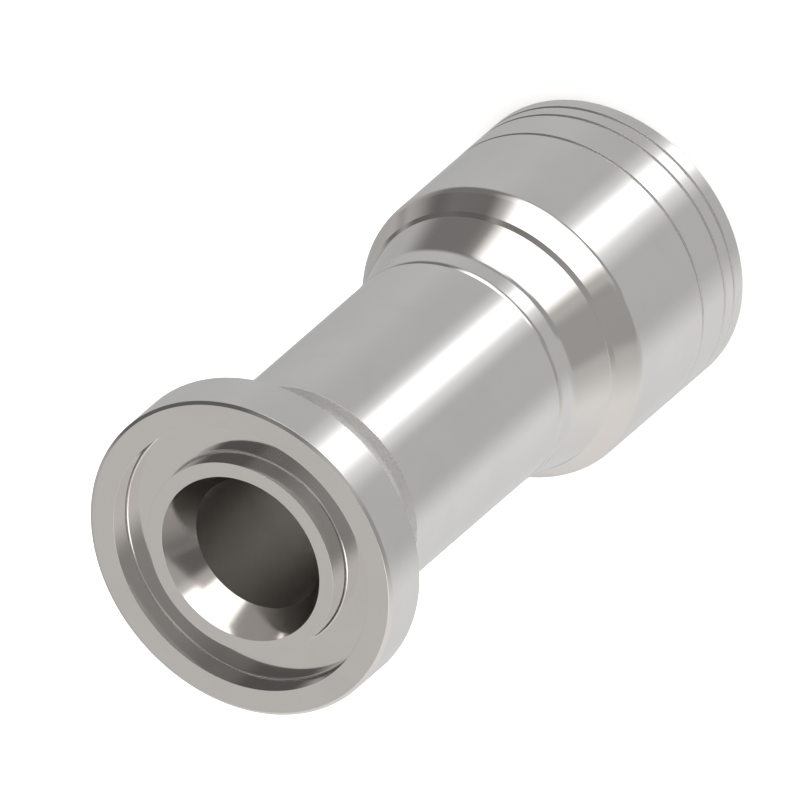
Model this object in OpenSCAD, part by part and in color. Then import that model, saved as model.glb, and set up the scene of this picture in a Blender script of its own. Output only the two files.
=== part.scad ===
// Straight crimp hose fitting with a flange head.
// The part stands on the open end of its shell, with +Z towards the flange face.
// Every outline is drawn in the half plane [radius, height] and turned round the Z axis.

/* [Flange head] */
// Outside diameter of the flange head
head_d = 38.1; // [36:0.1:42]
// Thickness of the flange head
head_t = 6.3; // [5:0.1:9]
// Radial width of the chamfer round the face
face_chamfer_w = 0.37; // [0.1:0.01:0.8]
// Depth of the chamfer round the face
face_chamfer_h = 0.25; // [0.1:0.01:0.8]
// Edge break at the back of the head
back_edge = 0.15; // [0.05:0.05:0.6]

/* [Seal groove] */
// Outside diameter of the groove for the face seal
groove_d = 32; // [30.6:0.1:33.4]
// Radial width of the groove
groove_w = 4.3; // [3.4:0.1:4.8]
// Depth of the groove
groove_depth = 2.8; // [2:0.1:3.4]
// Radius in the bottom corners of the groove
groove_r = 0.4; // [0.1:0.05:0.8]

/* [Bore] */
// Diameter of the plain bore
bore_d = 15.8; // [13:0.1:16.4]
// Diameter of the countersunk mouth at the face
mouth_d = 19.9; // [18:0.1:21.6]
// Depth of the countersunk mouth
mouth_depth = 4; // [2:0.1:6]

/* [Neck] */
// Diameter of the neck
neck_d = 27.7; // [26.5:0.1:29.5]
// Depth of the relief behind the head, below the neck
relief_depth = 2.05; // [1.1:0.05:3]
// Length of the relief behind the head
relief_l = 8.3; // [5:0.1:12]
// Radius in the corners of the relief
relief_r = 0.8; // [0.2:0.1:1]
// Length of the neck, up to the round of the band
neck_l = 31.8; // [12:0.1:50]
// Height of the band over the neck
band_rise = 0.13; // [0.05:0.01:0.4]
// Length of the band's cylinder
band_l = 2.1; // [1.5:0.1:6]
// Radius of the round on the band's front
band_r = 3; // [1:0.1:4]

/* [Collar] */
// Length of the collar's cone, from the band to the shell
collar_l = 5.5; // [4:0.1:8]
// Radius at the foot of the collar's cone
collar_r = 4; // [0.5:0.1:5]

/* [Shell] */
// Outside diameter of the shell
shell_d = 35.2; // [34.4:0.1:38]
// Length of the shell
shell_l = 25.2; // [16:0.1:45]
// Radial rise of the nose cone, up to the shell's side
nose_rise = 1.65; // [1:0.05:2]
// Length of the nose cone
nose_l = 2.45; // [1.6:0.05:4]
// Radial step from the collar to the shell's nose
nose_step = 0.4; // [0.2:0.05:0.6]
// Length of the chamfer that makes that step
nose_chamfer = 0.5; // [0.2:0.05:1]
// Radius between the nose cone and the shell's side
shoulder_r = 1.5; // [0.3:0.1:2.5]
// Wall of the shell, between its gripping lands
shell_wall = 1.9; // [1.4:0.1:2.4]
// Height of the gripping lands above the wall
land_rise = 0.7; // [0.2:0.1:1]
// Distance from one gripping land to the next
land_pitch = 3.6; // [2.6:0.1:6]
// Length of the flat on each gripping land
land_flat = 0.6; // [0.2:0.1:1]
// Lead-in at the open end of the shell
shell_lead = 0.5; // [0.1:0.1:0.8]

/* [Ring marks] */
// Distance of the first ring mark from the open end
mark_1 = 1.85; // [1:0.05:2.6]
// Distance of the second ring mark from the open end
mark_2 = 3.85; // [3.3:0.05:6]
// Distance of the third ring mark from the open end
mark_3 = 8.6; // [7:0.05:12]
// Width of each ring mark
mark_w = 0.5; // [0.1:0.05:0.6]
// Depth of each ring mark
mark_depth = 0.2; // [0.05:0.05:0.4]

/* [Lock] */
// Wall between the bore and the lock groove behind the collar
lock_wall = 3.1; // [2.4:0.1:3.8]
// Thickness of the shell's inner rim, which sits in the lock groove
rim_t = 3.2; // [2:0.1:4.5]
// Clearance of the rim in the lock groove
lock_clear = 0.05; // [0.02:0.01:0.2]
// Height of the ridge that holds the rim, above the lock groove
ridge_rise = 1.3; // [0.8:0.1:2]
// Thickness of the ridge
ridge_t = 1.6; // [0.8:0.1:2.5]
// Chamfer on the hose side of the ridge
ridge_chamfer = 0.6; // [0.1:0.1:0.7]

/* [Hose tail] */
// Wall of the tail between its barbs
tail_wall = 1.3; // [0.9:0.1:1.6]
// Height of the barbs above the tail
barb_rise = 0.75; // [0.2:0.05:1]
// Distance from one barb to the next
barb_pitch = 3; // [2:0.1:5]
// Length of the flat on each barb
barb_flat = 0.35; // [0.1:0.05:0.6]
// Length of the steep side of each barb
barb_back = 0.35; // [0.1:0.05:0.6]
// Distance of the tail's tip inside the open end of the shell
tip_recess = 2; // [0.5:0.1:5]
// Edge break on the tail's tip
tip_edge = 0.3; // [0.1:0.05:0.5]

/* [Hidden] */
$fn = 180;
arc_steps = 10;
steel_bright = [0.74, 0.73, 0.71];
steel_soft = [0.70, 0.69, 0.68];

// Heights of the stations, counted up from the open end of the shell
z_rim = shell_l - rim_t;
z_collar = shell_l + collar_l;
z_band = z_collar + band_l;
z_shoulder = z_band + neck_l;
z_head = z_shoulder + relief_l;
z_face = z_head + head_t;
z_ridge = z_rim - lock_clear;
z_tail = z_ridge - ridge_t;

// Radii of the head, the neck and the collar
head_out = head_d / 2;
groove_out = groove_d / 2;
groove_in = groove_out - groove_w;
neck_out = neck_d / 2;
relief_out = neck_out - relief_depth;
band_out = neck_out + band_rise;
shell_out = shell_d / 2;
nose_out = shell_out - nose_rise;
collar_out = nose_out - nose_step;

// Radii of the tail, counted outwards from the bore, and inside the shell
bore_in = bore_d / 2;
lock_out = bore_in + lock_wall;
ridge_out = lock_out + ridge_rise;
tail_out = bore_in + tail_wall;
barb_out = tail_out + barb_rise;
rim_in = lock_out + lock_clear;
socket_in = shell_out - shell_wall;
land_in = socket_in - land_rise;

// Rows of barbs and lands that fit between the tip or the mouth and the closed end
barb_count = floor((z_tail - tip_recess - tip_edge) / barb_pitch);
land_count = floor((z_rim - shell_lead) / land_pitch);

function unit(v) = v / norm(v);

// Points of an arc of radius r that rounds the corner at b between the sides b-a and b-c
function round_corner(a, b, c, r) =
    let (
        u = unit(a - b),
        w = unit(c - b),
        half = acos(u * w) / 2,
        centre = b + unit(u + w) * r / sin(half),
        from = b + u * r / tan(half) - centre,
        to = b + w * r / tan(half) - centre,
        start = atan2(from.y, from.x),
        sweep = atan2(from.x * to.y - from.y * to.x, from * to)
    )
    [for (i = [0:arc_steps]) let (t = start + sweep * i / arc_steps) centre + r * [cos(t), sin(t)]];

// The band meets its round smoothly and ends in a sharp foot on the neck
function band_front() =
    let (sweep = acos(1 - band_rise / band_r))
    [for (i = [0:arc_steps]) let (t = sweep * i / arc_steps)
        [band_out - band_r + band_r * cos(t), z_band + band_r * sin(t)]];

// Barbs rise slowly towards the closed end and fall away steeply, so the hose can't slip off
function barbs() = [
    for (i = [0:barb_count - 1]) let (z = tip_recess + tip_edge + i * barb_pitch)
        each [
            [tail_out, z],
            [barb_out, z + barb_pitch - barb_flat - barb_back],
            [barb_out, z + barb_pitch - barb_back],
            [tail_out, z + barb_pitch]
        ]
];

// Lands lean the same way inside the shell, listed from the closed end to the mouth
function lands() = [
    for (i = [land_count - 1:-1:0]) let (z = shell_lead + i * land_pitch)
        each [
            [socket_in, z + land_pitch],
            [land_in, z + land_pitch - land_rise],
            [land_in, z + land_pitch - land_rise - land_flat],
            [socket_in, z]
        ]
];

// The face seal groove, open at the flange face
module seal_groove() {
    floor_z = z_face - groove_depth;
    polygon(concat(
        [[groove_out, z_face + 1]],
        round_corner([groove_out, z_face], [groove_out, floor_z], [groove_in, floor_z], groove_r),
        round_corner([groove_out, floor_z], [groove_in, floor_z], [groove_in, z_face], groove_r),
        [[groove_in, z_face + 1]]
    ));
}

// Outline of the nipple, from the tip of the tail up the outside and down the bore
module nipple_outline() {
    foot = [band_out, z_collar];
    brow = [collar_out, shell_l];
    polygon(concat(
        [[bore_in + tip_edge, tip_recess], [tail_out - tip_edge, tip_recess]],
        barbs(),
        [
            [tail_out, z_tail],
            [ridge_out - ridge_chamfer, z_tail],
            [ridge_out, z_tail + ridge_chamfer],
            [ridge_out, z_ridge],
            [lock_out, z_ridge],
            [lock_out, shell_l],
            brow
        ],
        round_corner(brow, foot, [band_out, z_band], collar_r),
        band_front(),
        [[neck_out, z_shoulder]],
        round_corner([neck_out, z_shoulder], [relief_out, z_shoulder], [relief_out, z_head], relief_r),
        round_corner([relief_out, z_shoulder], [relief_out, z_head], [head_out, z_head], relief_r),
        [
            [head_out - back_edge, z_head],
            [head_out, z_head + back_edge],
            [head_out, z_face - face_chamfer_h],
            [head_out - face_chamfer_w, z_face],
            [mouth_d / 2, z_face],
            [bore_in, z_face - mouth_depth],
            [bore_in, tip_recess + tip_edge]
        ]
    ));
}

// Outline of the shell, from the open end up the outside and down the inside
module shell_outline() {
    nose = [nose_out, shell_l - nose_chamfer];
    shoulder = [shell_out, nose.y - nose_l];
    polygon(concat(
        [[shell_out, 0]],
        round_corner([shell_out, 0], shoulder, nose, shoulder_r),
        [nose, [collar_out, shell_l], [rim_in, shell_l], [rim_in, z_rim], [socket_in, z_rim]],
        lands(),
        [[socket_in + shell_lead, 0]]
    ));
}

// A narrow V cut round the outside of the shell
module ring_mark(z) {
    polygon([
        [shell_out - mark_depth, z],
        [shell_out + mark_depth, z + mark_w],
        [shell_out + mark_depth, z - mark_w]
    ]);
}

// Flange head, neck, collar and barbed tail, turned from one bar
module nipple() {
    color(steel_bright) rotate_extrude() difference() {
        nipple_outline();
        seal_groove();
    }
}

// Crimp shell, swaged into the nipple's lock groove
module shell() {
    color(steel_soft) rotate_extrude() difference() {
        shell_outline();
        for (z = [mark_1, mark_2, mark_3]) ring_mark(z);
    }
}

nipple();
shell();
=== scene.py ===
import math

import bpy
from mathutils import Matrix, Vector


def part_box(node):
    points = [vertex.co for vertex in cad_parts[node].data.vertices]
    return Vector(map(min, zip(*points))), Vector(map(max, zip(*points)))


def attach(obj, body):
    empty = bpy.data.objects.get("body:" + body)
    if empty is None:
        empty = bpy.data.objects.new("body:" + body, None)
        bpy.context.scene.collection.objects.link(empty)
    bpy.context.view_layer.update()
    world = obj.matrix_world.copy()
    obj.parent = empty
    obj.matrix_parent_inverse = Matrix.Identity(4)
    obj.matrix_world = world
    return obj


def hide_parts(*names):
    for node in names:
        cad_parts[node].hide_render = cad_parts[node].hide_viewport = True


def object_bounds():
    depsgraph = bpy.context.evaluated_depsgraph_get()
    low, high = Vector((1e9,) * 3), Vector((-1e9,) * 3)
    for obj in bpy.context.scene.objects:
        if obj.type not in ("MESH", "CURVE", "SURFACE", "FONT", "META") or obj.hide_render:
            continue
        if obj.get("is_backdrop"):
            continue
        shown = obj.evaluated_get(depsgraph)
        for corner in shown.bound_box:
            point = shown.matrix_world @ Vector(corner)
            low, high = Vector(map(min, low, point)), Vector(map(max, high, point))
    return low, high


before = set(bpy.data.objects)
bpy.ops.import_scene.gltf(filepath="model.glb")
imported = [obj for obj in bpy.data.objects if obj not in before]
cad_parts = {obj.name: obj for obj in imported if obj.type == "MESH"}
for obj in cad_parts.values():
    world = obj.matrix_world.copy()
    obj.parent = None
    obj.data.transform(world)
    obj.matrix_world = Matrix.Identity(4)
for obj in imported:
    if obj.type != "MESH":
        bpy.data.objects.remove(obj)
cad_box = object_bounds()

MM = 0.001
nipple_low, nipple_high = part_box("nipple")
shell_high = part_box("shell")[1]

# Sizes in millimetres: _out and _in are radii, _r is a rounding, _l a length and _t a thickness.
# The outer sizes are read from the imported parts.
head_out = round(nipple_high[0] / MM, 2)
z_face = round(nipple_high[2] / MM, 2)
z_tip = round(nipple_low[2] / MM, 2)
shell_out = round(shell_high[0] / MM, 2)
shell_l = round(shell_high[2] / MM, 2)

# Flange head and seal groove
head_t = 6.3
face_chamfer_w = 0.37
face_chamfer_h = 0.25
back_edge = 0.15
groove_out = 16.0
groove_in = 11.7
groove_depth = 2.8
groove_r = 0.25

# Bore and its countersunk mouth
bore_in = 7.9
mouth_in = 9.95
mouth_depth = 4.0

# Neck, relief and band
neck_out = 13.85
relief_out = 11.8
relief_l = 8.3
relief_r = 0.8
band_rise = 0.13
band_l = 2.1
band_r = 2.0

# Collar and the shell's nose
collar_l = 5.5
collar_r = 4.0
nose_rise = 1.65
nose_l = 2.45
nose_step = 0.4
nose_chamfer = 0.5
shoulder_r = 2.0

# Ring marks round the shell, as heights over its open end, and the V cut for each
ring_marks = (1.85, 3.85, 8.6)
mark_half = 0.22
mark_depth = 0.33

# Lock groove and ridge, hidden inside the shell
lock_out = 11.0
ridge_out = 12.3
rim_t = 3.2
lock_clear = 0.05
ridge_t = 1.6
ridge_chamfer = 0.6

# Barbed tail
tail_out = 9.2
barb_out = 9.95
barb_count = 6
barb_pitch = 3.0
barb_flat = 0.35
barb_back = 0.35
tip_edge = 0.3

# Gripping lands inside the shell
socket_in = 15.7
land_rise = 0.7
land_count = 5
land_pitch = 3.6
land_flat = 0.6
shell_lead = 0.5

# Heights of the stations
z_head = z_face - head_t
z_shoulder = z_head - relief_l
z_nose = shell_l - nose_chamfer
z_collar = shell_l + collar_l
z_band = z_collar + band_l
z_rim = shell_l - rim_t
z_ridge = z_rim - lock_clear
z_tail = z_ridge - ridge_t

# Radii that follow from the sizes above
band_out = neck_out + band_rise
nose_out = shell_out - nose_rise
collar_out = nose_out - nose_step

# Edge breaks left by the lathe tool. Outer corners rounded up to the largest edge show wear.
fine_edge = 0.05
face_edge = 0.02
hidden_edge = 0.03
largest_edge = 0.3

# How finely rounds are drawn: steps round the axis, and degrees a step on edges and on larger rounds
around = 288
edge_step = 15.0
round_step = 5.0

# A corner that turns less than this stays a plain point
flattest_bend = math.radians(0.5)

# The rounds at both ends of a side take up to this share of its length
side_share = 0.97

# How far past a surface's own lines a face still takes its finish
near = 0.01
bore_near = 0.04
flank_near = 0.005

# Camera of the photograph, a parallel view: the width and centre of its frame and its distance in
# metres, the slant of the fitting's axis in the frame, and the axis's tilt away from the camera
view_width = 0.08738
view_centre = Vector((0.001712, -0.018397, 0.062963))
view_distance = 0.6
axis_turn = math.radians(40.8947)
axis_tilt = math.radians(41.4329)

# What all the steels share: the tint at grazing angles, how much darker soil makes the tone, how far
# worn edges take the worn tone, and what rings and wear add to the roughness
grazing_tint = (0.84, 0.84, 0.84, 1.0)
soiled_tone = 0.8
worn_edge_share = 0.5
ring_roughness = 0.08
wear_roughness = 0.12

# Plain room light, and the tone of the room that the camera sees
base_light = 0.55
room_tone = 1.0

# The upper room's light is a little warmer. Its place is given as a panel's is, below.
warm_tone = (1.03, 0.99, 0.962)
warm_part = (0.0, 200.0, 4.0, 40.0, 72.5, 12.5)

# Soft panels, each over the ones before it: brightness, then its place in degrees, which is heading
# from the camera's side, half width and side softness, then height over the horizon, half height
# and height softness
panels = (
    (0.61, -115.0, 40.0, 20.0, -62.0, 22.0, 6.0),
    (0.52, -165.0, 30.0, 15.0, 0.0, 30.0, 8.0),
    (0.21, -88.0, 28.0, 15.0, -12.0, 24.0, 8.0),
    (0.17, -150.0, 45.0, 12.0, 30.0, 8.0, 3.0),
    (0.14, -55.5, 85.5, 14.0, 42.0, 36.0, 8.0),
    (0.36, 50.0, 87.5, 47.5, 55.0, 36.0, 4.0),
    (0.57, 0.0, 32.0, 20.0, 75.0, 14.0, 3.0),
    (0.86, 125.0, 45.0, 18.0, -8.0, 62.0, 9.0),
    (0.55, 10.0, 12.0, 6.0, -5.0, 25.5, 1.5),
    (0.15, -117.0, 20.0, 8.0, 8.5, 12.5, 3.0),
    (0.19, -136.0, 9.0, 5.0, -8.5, 5.5, 3.0),
    (0.26, -62.0, 14.0, 8.0, 55.0, 7.0, 3.0),
    (0.39, 41.0, 19.0, 5.0, 0.0, 30.0, 5.0),
    (0.38, -12.0, 45.0, 5.0, -31.0, 11.0, 3.0),
    (0.90, -33.0, 29.0, 10.0, 0.5, 20.0, 1.2),
    (1.5, -45.0, 13.0, 8.0, -24.0, 8.0, 3.0),
    (1.5, -22.0, 14.0, 8.0, -20.5, 4.5, 3.0),
    (1.9, -22.9, 32.0, 6.0, 0.5, 20.0, 1.2),
    (0.95, -9.0, 20.0, 10.0, -51.0, 12.0, 3.0),
    (2.8, -10.5, 6.5, 10.5, -51.0, 12.0, 3.0),
    (2.0, 132.0, 50.0, 5.0, 62.0, 6.5, 1.5),
    (2.0, 94.0, 14.0, 4.0, 58.0, 6.0, 1.2),
)


# Turning
def side_normal(side):
    """The outward normal of an outline's side, for outlines with the material on their left."""
    return Vector((side.y, -side.x)).normalized()


def rounded_outline(corners):
    """Points of a closed outline with every corner (radius, height, rounding) rounded, with normals.

    Each point is (radius, height, normal across, normal up, 1 on an outer edge or 0)."""
    count = len(corners)
    places = [Vector(corner[:2]) for corner in corners]
    sides = [places[(i + 1) % count] - places[i] for i in range(count)]
    turns = [-sides[i - 1].angle_signed(sides[i]) for i in range(count)]
    reach = [corners[i][2] * math.tan(abs(turns[i]) / 2) for i in range(count)]
    for i in range(count):
        after = (i + 1) % count
        room = side_share * sides[i].length
        wanted = reach[i] + reach[after]
        if wanted > room:
            reach[i] *= room / wanted
            reach[after] *= room / wanted
    outline = []
    for i in range(count):
        before = sides[i - 1].normalized()
        normal = side_normal(before)
        turn = turns[i]
        start = places[i] - before * reach[i]
        if abs(turn) < flattest_bend:
            outline.append((places[i].x, places[i].y, normal.x, normal.y, 0.0))
            continue
        bend = reach[i] / math.tan(abs(turn) / 2)
        outer = 1.0 if turn > 0 else -1.0
        centre = start - normal * bend * outer
        is_edge = corners[i][2] <= largest_edge
        step = edge_step if is_edge else round_step
        steps = max(2, math.ceil(math.degrees(abs(turn)) / step))
        for k in range(steps + 1):
            part = turn * k / steps
            across = normal.x * math.cos(part) - normal.y * math.sin(part)
            up = normal.x * math.sin(part) + normal.y * math.cos(part)
            point = centre + Vector((across, up)) * bend * outer
            worn = 1.0 if outer > 0 and is_edge and 0 < k < steps else 0.0
            outline.append((point.x, point.y, across, up, worn))
    return outline


def turned_piece(name, corners, finish_of):
    """Turns an outline round the Z axis, with exact normals and an edge mask for the wear."""
    outline = rounded_outline(corners)
    count = len(outline)
    places = []
    normals = []
    for k in range(around):
        angle = 2 * math.pi * k / around
        x_part = math.cos(angle)
        y_part = math.sin(angle)
        for radius, height, across, up, _ in outline:
            places.append((radius * x_part * MM, radius * y_part * MM, height * MM))
            normals.append((across * x_part, across * y_part, up))
    faces = []
    finishes = []
    for k in range(around):
        here = k * count
        there = (k + 1) % around * count
        for j in range(count):
            after = (j + 1) % count
            faces.append((here + j, there + j, there + after, here + after))
            middle = (Vector(outline[j][:2]) + Vector(outline[after][:2])) / 2
            finishes.append(finish_of(middle.x, middle.y))
    mesh = bpy.data.meshes.new(name)
    mesh.from_pydata(places, [], faces)
    mesh.polygons.foreach_set("use_smooth", [True] * len(faces))
    mesh.polygons.foreach_set("material_index", finishes)
    edge = mesh.attributes.new("edge_wear", "FLOAT", "POINT")
    edge.data.foreach_set("value", [point[4] for point in outline] * around)
    mesh.update()
    mesh.normals_split_custom_set_from_vertices(normals)
    piece = bpy.data.objects.new(name, mesh)
    bpy.context.scene.collection.objects.link(piece)
    return piece


# Nipple
def band_corners():
    """The band's front round, which meets the band smoothly and ends in a sharp foot on the neck."""
    sweep = math.acos(1 - band_rise / band_r)
    return [
        (band_out, z_band + band_r * math.tan(sweep / 2), band_r),
        (neck_out, z_band + band_r * math.sin(sweep), fine_edge),
    ]


def barb_corners():
    """The barbs, which rise slowly towards the closed end and fall away steeply."""
    corners = []
    for i in range(barb_count):
        z = z_tip + tip_edge + i * barb_pitch
        corners += [
            (tail_out, z, hidden_edge),
            (barb_out, z + barb_pitch - barb_flat - barb_back, hidden_edge),
            (barb_out, z + barb_pitch - barb_back, hidden_edge),
        ]
    return corners


def nipple_corners():
    """Outline of the nipple, from the tail's tip up the outside and down the bore."""
    return [
        (bore_in + tip_edge, z_tip, hidden_edge),
        (tail_out - tip_edge, z_tip, hidden_edge),
        *barb_corners(),
        (tail_out, z_tip + tip_edge + barb_count * barb_pitch, hidden_edge),
        (tail_out, z_tail, hidden_edge),
        (ridge_out - ridge_chamfer, z_tail, hidden_edge),
        (ridge_out, z_tail + ridge_chamfer, hidden_edge),
        (ridge_out, z_ridge, hidden_edge),
        (lock_out, z_ridge, hidden_edge),
        (lock_out, shell_l, hidden_edge),
        (collar_out, shell_l, hidden_edge),
        (band_out, z_collar, collar_r),
        *band_corners(),
        (neck_out, z_shoulder, face_edge),
        (relief_out, z_shoulder, relief_r),
        (relief_out, z_head, relief_r),
        (head_out - back_edge, z_head, fine_edge),
        (head_out, z_head + back_edge, face_edge),
        (head_out, z_face - face_chamfer_h, fine_edge),
        (head_out - face_chamfer_w, z_face, fine_edge),
        (groove_out, z_face, face_edge),
        (groove_out, z_face - groove_depth, groove_r),
        (groove_in, z_face - groove_depth, groove_r),
        (groove_in, z_face, face_edge),
        (mouth_in, z_face, face_edge),
        (bore_in, z_face - mouth_depth, fine_edge),
        (bore_in, z_tip + tip_edge, hidden_edge),
    ]


def nipple_finish(radius, height):
    """0 on the bright outside, 1 in the bore, 2 on both flanks of the relief, 3 in the mouth. The steels
    for 1, 2 and 3 are toned lighter than the outside steel, as painted light against the shade there.
    """
    if radius < bore_in + bore_near:
        return 1
    if radius < mouth_in - near and height > z_head:
        return 3
    on_floor = radius < relief_out + near
    in_relief = z_shoulder - flank_near < height < z_head + flank_near
    in_middle = z_shoulder + relief_r < height < z_head - relief_r
    return 2 if in_relief and not (on_floor or in_middle) else 0


# Shell
def mark_corners():
    """The ring marks, each a narrow V."""
    corners = []
    for z in ring_marks:
        corners += [
            (shell_out, z - mark_half, face_edge),
            (shell_out - mark_depth, z, hidden_edge),
            (shell_out, z + mark_half, face_edge),
        ]
    return corners


def land_corners():
    """The gripping lands, which lean as the barbs do, from the closed end to the open end."""
    corners = []
    for i in reversed(range(land_count)):
        z = shell_lead + i * land_pitch
        corners += [
            (socket_in, z + land_pitch, hidden_edge),
            (socket_in - land_rise, z + land_pitch - land_rise, hidden_edge),
            (socket_in - land_rise, z + land_pitch - land_rise - land_flat, hidden_edge),
        ]
    return corners


def shell_corners():
    """Outline of the shell, from its open end up the outside and down the inside."""
    return [
        (shell_out, 0.0, fine_edge),
        *mark_corners(),
        (shell_out, z_nose - nose_l, shoulder_r),
        (nose_out, z_nose, fine_edge),
        (collar_out, shell_l, hidden_edge),
        (lock_out + lock_clear, shell_l, hidden_edge),
        (lock_out + lock_clear, z_rim, hidden_edge),
        (socket_in, z_rim, hidden_edge),
        *land_corners(),
        (socket_in, shell_lead, hidden_edge),
        (socket_in + shell_lead, 0.0, hidden_edge),
    ]


def shell_finish(radius, height):
    """0 on the bright outside, 1 inside the shell, 2 in the ring marks."""
    if radius < socket_in + shell_lead + near:
        return 1 if height < z_rim + near else 0
    in_mark = any(abs(height - z) < mark_half for z in ring_marks)
    return 2 if in_mark else 0


# Shader parts that more than one finish uses
def node(tree, kind, **settings):
    """Adds a shader node with its settings; the inputs go in by name or number."""
    made = tree.nodes.new(kind)
    inputs = settings.pop("inputs", {})
    for key, value in settings.items():
        setattr(made, key, value)
    for key, value in inputs.items():
        if isinstance(value, bpy.types.NodeSocket):
            tree.links.new(value, made.inputs[key])
        else:
            made.inputs[key].default_value = value
    return made


def maths(tree, operation, *values):
    """A maths node; its answer."""
    return node(tree, "ShaderNodeMath", operation=operation, inputs=dict(enumerate(values))).outputs[0]


def colour_mix(tree, share, first, second):
    """A mix of two colours by a share; its answer."""
    return node(
        tree, "ShaderNodeMix", data_type="RGBA", inputs={0: share, 6: first, 7: second}
    ).outputs[2]


def effect_group(name, inputs, outputs):
    """An empty node group with named number inputs (name: start value) and outputs."""
    group = bpy.data.node_groups.new(name, "ShaderNodeTree")
    for label, value in inputs.items():
        socket = group.interface.new_socket(label, in_out="INPUT", socket_type="NodeSocketFloat")
        socket.default_value = value
    for label in outputs:
        group.interface.new_socket(label, in_out="OUTPUT", socket_type="NodeSocketFloat")
    return group, group.nodes.new("NodeGroupInput").outputs, group.nodes.new("NodeGroupOutput").inputs


def turning_marks_group():
    """Fine rings that the lathe tool leaves. They follow radius and height, so each closes on itself."""
    group, given, result = effect_group(
        "turning_marks", {"Rings per metre": 3000.0, "Patchiness": 0.5}, ("Height",)
    )
    place = node(group, "ShaderNodeTexCoord").outputs["Object"]
    apart = node(group, "ShaderNodeSeparateXYZ", inputs={0: place}).outputs
    flat = node(group, "ShaderNodeCombineXYZ", inputs={0: apart[0], 1: apart[1]}).outputs[0]
    radius = node(group, "ShaderNodeVectorMath", operation="LENGTH", inputs={0: flat}).outputs["Value"]
    profile = node(group, "ShaderNodeCombineXYZ", inputs={0: radius, 1: apart[2]}).outputs[0]
    rings = node(
        group,
        "ShaderNodeTexNoise",
        noise_dimensions="2D",
        inputs={"Vector": profile, "Scale": given["Rings per metre"], "Detail": 3.0, "Roughness": 0.6},
    ).outputs[0]
    patch = node(
        group,
        "ShaderNodeTexNoise",
        inputs={"Vector": place, "Scale": 90.0, "Detail": 2.0},
    ).outputs[0]
    patch = node(
        group,
        "ShaderNodeMapRange",
        interpolation_type="SMOOTHSTEP",
        inputs={"Value": patch, "From Min": 0.3, "From Max": 0.7},
    ).outputs[0]
    kept = maths(group, "SUBTRACT", 1.0, maths(group, "MULTIPLY", patch, given["Patchiness"]))
    height = maths(group, "MULTIPLY", maths(group, "SUBTRACT", rings, 0.5), kept)
    group.links.new(maths(group, "ADD", height, 0.5), result["Height"])
    return group


def handling_group():
    """Faint smudges and hairline scratches from handling."""
    group, given, result = effect_group(
        "handling_wear", {"Smudge scale": 120.0, "Scratch scale": 500.0}, ("Smudge", "Scratch")
    )
    place = node(group, "ShaderNodeTexCoord").outputs["Object"]
    cloud = node(
        group,
        "ShaderNodeTexNoise",
        inputs={"Vector": place, "Scale": given["Smudge scale"], "Detail": 4.0, "Distortion": 0.6},
    ).outputs[0]
    smudge = node(
        group,
        "ShaderNodeMapRange",
        interpolation_type="SMOOTHSTEP",
        inputs={"Value": cloud, "From Min": 0.42, "From Max": 0.72},
    ).outputs[0]
    slanted = node(
        group,
        "ShaderNodeMapping",
        inputs={"Vector": place, "Rotation": (0.5, 0.9, 0.3), "Scale": (1.0, 0.04, 1.0)},
    ).outputs[0]
    fibres = node(
        group,
        "ShaderNodeTexNoise",
        inputs={"Vector": slanted, "Scale": given["Scratch scale"], "Detail": 1.0},
    ).outputs[0]
    line = maths(group, "ABSOLUTE", maths(group, "SUBTRACT", fibres, 0.5))
    line = node(
        group,
        "ShaderNodeMapRange",
        inputs={"Value": line, "From Min": 0.006, "From Max": 0.0},
    ).outputs[0]
    sparse = node(
        group,
        "ShaderNodeMapRange",
        inputs={"Value": cloud, "From Min": 0.5, "From Max": 0.62},
    ).outputs[0]
    group.links.new(smudge, result["Smudge"])
    group.links.new(maths(group, "MULTIPLY", line, sparse), result["Scratch"])
    return group


turning_marks = turning_marks_group()
handling_wear = handling_group()


def turned_steel(name, tone, worn_tone, roughness, rings, ring_height, smudges, scratches):
    """Turned steel with fine tool rings, handling wear and lighter worn edges.

    Rings are counted per metre and are ring_height metres high. Smudges and scratches are shares."""
    material = bpy.data.materials.new(name)
    material.use_nodes = True
    tree = material.node_tree
    shader = tree.nodes["Principled BSDF"]
    shader.inputs["Metallic"].default_value = 1.0
    shader.inputs["Specular Tint"].default_value = grazing_tint
    marks = node(
        tree, "ShaderNodeGroup", node_tree=turning_marks, inputs={"Rings per metre": rings}
    ).outputs
    wear = node(tree, "ShaderNodeGroup", node_tree=handling_wear).outputs
    edge = node(tree, "ShaderNodeAttribute", attribute_name="edge_wear").outputs["Fac"]
    dulled = maths(tree, "MULTIPLY", wear["Smudge"], smudges)
    scratch = maths(tree, "MULTIPLY", wear["Scratch"], scratches)
    dark_tone = [soiled_tone * part for part in tone]
    soiled = colour_mix(tree, dulled, (*tone, 1.0), (*dark_tone, 1.0))
    worn = maths(tree, "MULTIPLY", edge, worn_edge_share)
    tree.links.new(colour_mix(tree, worn, soiled, (*worn_tone, 1.0)), shader.inputs["Base Color"])
    grain = maths(tree, "MULTIPLY", maths(tree, "SUBTRACT", marks["Height"], 0.5), ring_roughness)
    rough = maths(tree, "ADD", grain, roughness)
    rough = maths(tree, "ADD", rough, maths(tree, "MULTIPLY", dulled, wear_roughness))
    rough = maths(tree, "ADD", rough, maths(tree, "MULTIPLY", scratch, wear_roughness))
    tree.links.new(rough, shader.inputs["Roughness"])
    height = maths(tree, "SUBTRACT", marks["Height"], scratch)
    bump = node(
        tree,
        "ShaderNodeBump",
        inputs={"Strength": 1.0, "Distance": ring_height, "Height": height},
    ).outputs[0]
    tree.links.new(bump, shader.inputs["Normal"])
    return material


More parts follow.
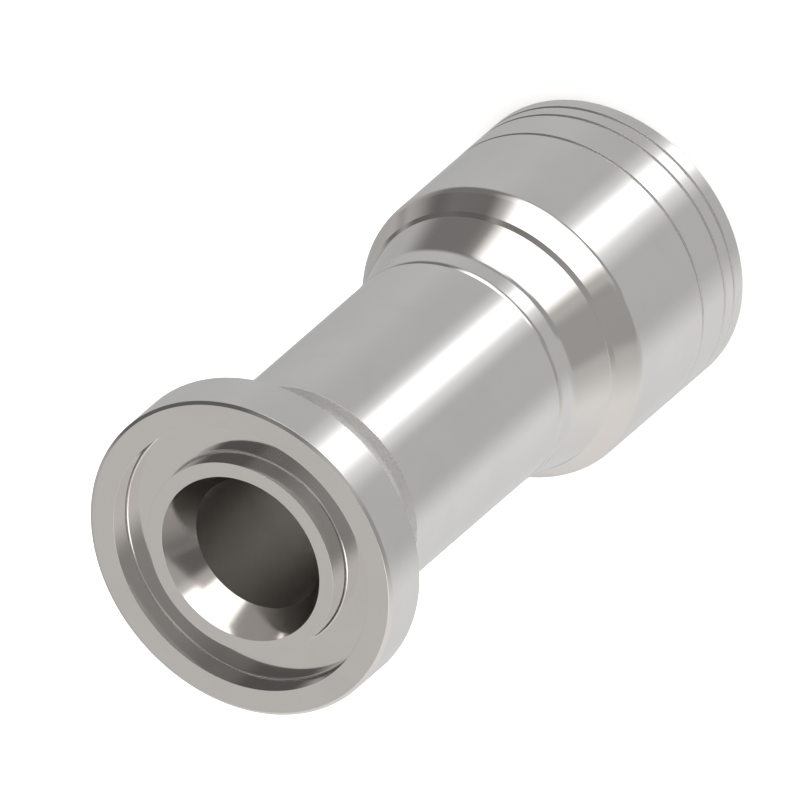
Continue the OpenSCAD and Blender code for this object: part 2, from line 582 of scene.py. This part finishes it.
# Studio
def soft_panel_group():
    """A soft-edged rectangle of light, placed by heading and height in degrees; 1 inside, 0 outside."""
    group, given, result = effect_group(
        "soft_panel",
        {
            "Heading": 0.0,
            "Half width": 30.0,
            "Side softness": 4.0,
            "Height": 0.0,
            "Half height": 20.0,
            "Height softness": 4.0,
        },
        ("Mask",),
    )
    looking = node(group, "ShaderNodeTexCoord").outputs["Generated"]
    apart = node(group, "ShaderNodeSeparateXYZ", inputs={0: looking}).outputs
    left = maths(group, "MULTIPLY", apart[0], -1.0)
    front = maths(group, "MULTIPLY", apart[1], -1.0)
    heading = maths(group, "DEGREES", maths(group, "ARCTAN2", left, front))
    height = maths(group, "DEGREES", maths(group, "ARCSINE", apart[2]))
    aside = maths(group, "WRAP", maths(group, "SUBTRACT", heading, given["Heading"]), 180.0, -180.0)
    above = maths(group, "SUBTRACT", height, given["Height"])
    masks = []
    for off, half, soft in (
        (aside, "Half width", "Side softness"),
        (above, "Half height", "Height softness"),
    ):
        masks.append(
            node(
                group,
                "ShaderNodeMapRange",
                interpolation_type="SMOOTHSTEP",
                inputs={
                    "Value": maths(group, "ABSOLUTE", off),
                    "From Min": maths(group, "ADD", given[half], given[soft]),
                    "From Max": maths(group, "SUBTRACT", given[half], given[soft]),
                },
            ).outputs[0]
        )
    group.links.new(maths(group, "MULTIPLY", *masks), result["Mask"])
    return group


def panel_mask(tree, group, place):
    """1 where a panel shines and 0 elsewhere, from the six values of its place."""
    inputs = dict(enumerate(place))
    return node(tree, "ShaderNodeGroup", node_tree=group, inputs=inputs).outputs["Mask"]


def studio_light():
    """Plain room light with the soft panels; the camera itself sees a plain pale room."""
    world = bpy.data.worlds.new("studio")
    bpy.context.scene.world = world
    world.use_nodes = True
    tree = world.node_tree
    tree.nodes.clear()
    group = soft_panel_group()
    light = base_light
    for brightness, *place in panels:
        mask = panel_mask(tree, group, place)
        light = node(tree, "ShaderNodeMix", inputs={0: mask, 2: light, 3: brightness}).outputs[0]
    warmth = panel_mask(tree, group, warm_part)
    seen = node(tree, "ShaderNodeLightPath").outputs["Is Camera Ray"]
    light = node(tree, "ShaderNodeMix", inputs={0: seen, 2: light, 3: room_tone}).outputs[0]
    warmth = maths(tree, "MULTIPLY", warmth, maths(tree, "SUBTRACT", 1.0, seen))
    colour = colour_mix(tree, warmth, (1.0, 1.0, 1.0, 1.0), (*warm_tone, 1.0))
    background = node(tree, "ShaderNodeBackground", inputs={"Color": colour, "Strength": light})
    out = node(tree, "ShaderNodeOutputWorld")
    tree.links.new(background.outputs[0], out.inputs[0])


def pale_floor():
    """A plain pale floor under the fitting."""
    reach = 3.0
    corners = [(-reach, -reach, 0), (reach, -reach, 0), (reach, reach, 0), (-reach, reach, 0)]
    mesh = bpy.data.meshes.new("floor")
    mesh.from_pydata(corners, [], [(0, 1, 2, 3)])
    floor = bpy.data.objects.new("floor", mesh)
    bpy.context.scene.collection.objects.link(floor)
    material = bpy.data.materials.new("pale_floor")
    material.use_nodes = True
    shader = material.node_tree.nodes["Principled BSDF"]
    shader.inputs["Base Color"].default_value = (0.9, 0.9, 0.9, 1.0)
    shader.inputs["Roughness"].default_value = 1.0
    shader.inputs["Specular IOR Level"].default_value = 0.0
    mesh.materials.append(material)
    floor.visible_glossy = False
    floor.visible_shadow = False
    floor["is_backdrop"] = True


def ceiling_light(strength, spread):
    """A wide soft lamp overhead, for the floor and the shadow on it. The steel doesn't mirror it."""
    data = bpy.data.lights.new("ceiling", "SUN")
    data.energy = strength
    data.angle = math.radians(spread)
    lamp = bpy.data.objects.new("ceiling", data)
    lamp.visible_glossy = False
    bpy.context.scene.collection.objects.link(lamp)


def photo_camera():
    """The photograph's parallel view, with the fitting's axis slanting down to the left."""
    up_axis = Vector((0, -math.cos(axis_tilt), -math.sin(axis_tilt)))
    aside = Vector((-1, 0, 0))
    toward = Vector((0, -math.sin(axis_tilt), math.cos(axis_tilt)))
    across = math.cos(axis_turn) * up_axis + math.sin(axis_turn) * aside
    upward = math.sin(axis_turn) * up_axis - math.cos(axis_turn) * aside
    data = bpy.data.cameras.new("photo_view")
    data.type = "ORTHO"
    data.ortho_scale = view_width
    data.clip_start = 0.01
    data.clip_end = 20
    camera = bpy.data.objects.new("photo_view", data)
    bpy.context.scene.collection.objects.link(camera)
    turn = Matrix((across, upward, toward)).transposed().to_4x4()
    camera.matrix_world = Matrix.Translation(view_centre + toward * view_distance) @ turn
    bpy.context.scene.camera = camera


photo_camera()
pale_floor()
ceiling_light(strength=4.0, spread=100.0)
studio_light()

# Finishes. The bore, relief and mouth steels are toned lighter than the outside steel as painted light.
bright = turned_steel(
    "nipple_steel",
    tone=(0.745, 0.735, 0.722),
    worn_tone=(0.85, 0.84, 0.83),
    roughness=0.08,
    rings=3000.0,
    ring_height=3e-7,
    smudges=0.15,
    scratches=0.15,
)
# The bore: a rougher, as-bored face, toned lighter than the outside steel. The lighter tone is painted
# light against the shade down the bore.
bore_painted_light = turned_steel(
    "bore_steel_painted_light",
    tone=(0.79, 0.77, 0.745),
    worn_tone=(0.82, 0.81, 0.8),
    roughness=0.38,
    rings=4200.0,
    ring_height=5e-7,
    smudges=0.2,
    scratches=0.0,
)
# Flanks of the relief: a satin, as-turned face, toned far lighter than the outside steel. The lighter
# tone is painted light that makes up for the shade in the relief.
relief_painted_light = turned_steel(
    "relief_steel_painted_light",
    tone=(0.94, 0.94, 0.935),
    worn_tone=(0.95, 0.94, 0.93),
    roughness=0.5,
    rings=2400.0,
    ring_height=8e-7,
    smudges=0.1,
    scratches=0.0,
)
# The countersunk mouth: smooth steel toned lighter than the outside steel. The lighter tone is painted
# light that brightens the reflections in the countersink.
mouth_painted_light = turned_steel(
    "mouth_steel_painted_light",
    tone=(0.84, 0.825, 0.81),
    worn_tone=(0.88, 0.87, 0.86),
    roughness=0.1,
    rings=2800.0,
    ring_height=3e-7,
    smudges=0.1,
    scratches=0.0,
)
swaged = turned_steel(
    "shell_steel",
    tone=(0.745, 0.735, 0.722),
    worn_tone=(0.85, 0.84, 0.83),
    roughness=0.08,
    rings=2600.0,
    ring_height=3e-7,
    smudges=0.15,
    scratches=0.15,
)
gripping = turned_steel(
    "grip_steel",
    tone=(0.5, 0.49, 0.48),
    worn_tone=(0.62, 0.61, 0.6),
    roughness=0.32,
    rings=2200.0,
    ring_height=1.2e-6,
    smudges=0.6,
    scratches=0.3,
)
marked = turned_steel(
    "mark_steel",
    tone=(0.71, 0.705, 0.695),
    worn_tone=(0.78, 0.77, 0.76),
    roughness=0.4,
    rings=2200.0,
    ring_height=3e-7,
    smudges=0.2,
    scratches=0.0,
)

# The two pieces, each with its finishes in the order that its finish function counts them
nipple = turned_piece("turned_nipple", nipple_corners(), nipple_finish)
for finish in (bright, bore_painted_light, relief_painted_light, mouth_painted_light):
    nipple.data.materials.append(finish)
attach(nipple, "root")
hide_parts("nipple")

shell = turned_piece("crimp_shell", shell_corners(), shell_finish)
for finish in (swaged, gripping, marked):
    shell.data.materials.append(finish)
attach(shell, "root")
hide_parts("shell")

bpy.context.scene.view_settings.view_transform = "Standard"

sizes = {"cad": cad_box, "visual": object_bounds()}
sizes = {which: [[round(value, 6) for value in corner] for corner in box] for which, box in sizes.items()}
